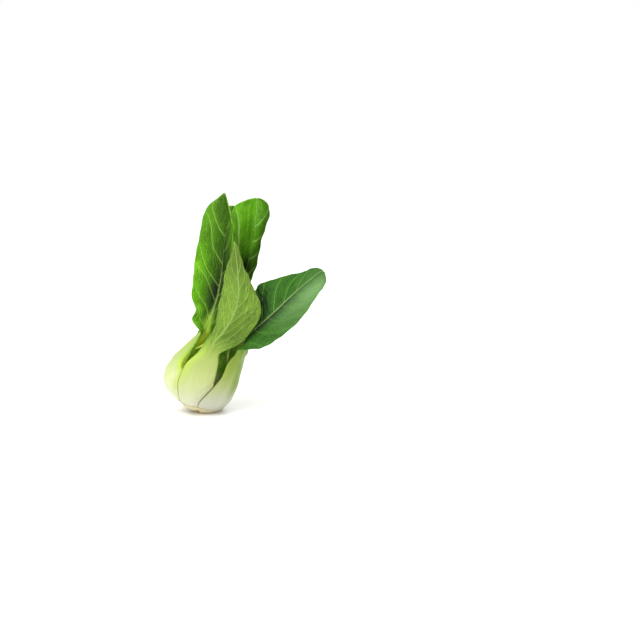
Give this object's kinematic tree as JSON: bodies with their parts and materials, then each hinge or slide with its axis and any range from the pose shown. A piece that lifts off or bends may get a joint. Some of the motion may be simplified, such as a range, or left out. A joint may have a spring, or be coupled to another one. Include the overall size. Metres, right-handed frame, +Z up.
{
  "type": "bok choy",
  "caption": "Cut head of bok choy standing on its cut base, with thick pale stalks that swell into a bulb and broad green leaves with pale veins.",
  "frame": {"origin": "centre of the flat cut face under the stem, where the head stands", "axes": "+Z up from the cut face along the head, +X towards the side the drooping leaf reaches to, -Y towards the front leaf"},
  "size_m": [0.1359, 0.0664, 0.1832],
  "materials": {
    "stem_butt": "dry cut stem, matte",
    "leaf_front": "fresh, slightly waxy leaf and stalk skin",
    "leaf_left": "fresh, slightly waxy leaf and stalk skin",
    "leaf_right": "fresh, slightly waxy leaf and stalk skin",
    "leaf_back_left": "fresh, slightly waxy leaf and stalk skin",
    "leaf_back_right": "fresh, slightly waxy leaf and stalk skin",
    "inner_leaf_front": "fresh, slightly waxy leaf and stalk skin",
    "inner_leaf_back": "fresh, slightly waxy leaf and stalk skin",
    "inner_leaf_left": "fresh, slightly waxy leaf and stalk skin",
    "heart_leaf_right": "fresh, slightly waxy leaf and stalk skin",
    "heart_leaf_left": "fresh, slightly waxy leaf and stalk skin"
  },
  "bodies": {
    "root": {"stem_butt": "stem_butt", "leaf_front": "leaf_front", "leaf_left": "leaf_left", "leaf_right": "leaf_right", "leaf_back_left": "leaf_back_left", "leaf_back_right": "leaf_back_right", "inner_leaf_front": "inner_leaf_front", "inner_leaf_back": "inner_leaf_back", "inner_leaf_left": "inner_leaf_left", "heart_leaf_right": "heart_leaf_right", "heart_leaf_left": "heart_leaf_left"}
  },
  "joints": []
}
